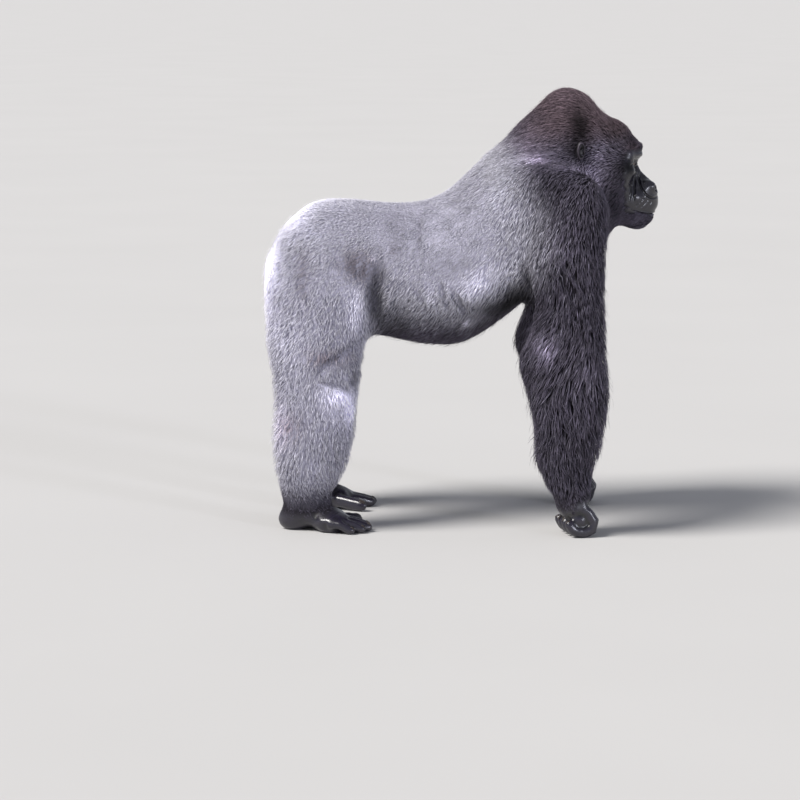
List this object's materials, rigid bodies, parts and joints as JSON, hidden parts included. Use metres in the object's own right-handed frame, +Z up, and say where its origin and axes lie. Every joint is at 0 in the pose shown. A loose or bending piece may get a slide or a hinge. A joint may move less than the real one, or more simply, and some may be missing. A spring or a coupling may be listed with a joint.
{
  "type": "gorilla",
  "caption": "Life-size still model of a grown male western lowland gorilla, standing on its knuckles and soles with its head held level.",
  "frame": {"origin": "middle of the model's box, on the floor", "axes": "+X the way the animal faces, +Y to its left, +Z up"},
  "size_m": [1.1538, 0.815, 1.2729],
  "materials": {
    "coat_silver": "short grey and silver hair lying flat",
    "coat_dark": "long black-grey hair, brownish on the crown",
    "bare_skin": "black creased skin with a soft sheen",
    "eye": "wet dark brown"
  },
  "bodies": {
    "root": {"rump": "coat_silver", "belly": "coat_silver", "chest": "coat_dark", "neck": "coat_dark", "head": "coat_dark", "face": "bare_skin", "lower_jaw": "bare_skin", "eye_right": "eye", "ear_right": "bare_skin", "upper_arm_right": "coat_dark", "forearm_right": "coat_dark", "thigh_right": "coat_silver", "shank_right": "coat_silver", "index_finger_right": "bare_skin", "middle_finger_right": "bare_skin", "ring_finger_right": "bare_skin", "little_finger_right": "bare_skin", "thumb_right": "bare_skin", "hand_right": "bare_skin", "second_toe_right": "bare_skin", "third_toe_right": "bare_skin", "fourth_toe_right": "bare_skin", "little_toe_right": "bare_skin", "great_toe_right": "bare_skin", "foot_right": "bare_skin", "eye_left": "eye", "ear_left": "bare_skin", "upper_arm_left": "coat_dark", "forearm_left": "coat_dark", "thigh_left": "coat_silver", "shank_left": "coat_silver", "index_finger_left": "bare_skin", "middle_finger_left": "bare_skin", "ring_finger_left": "bare_skin", "little_finger_left": "bare_skin", "thumb_left": "bare_skin", "hand_left": "bare_skin", "second_toe_left": "bare_skin", "third_toe_left": "bare_skin", "fourth_toe_left": "bare_skin", "little_toe_left": "bare_skin", "great_toe_left": "bare_skin", "foot_left": "bare_skin"}
  },
  "joints": []
}
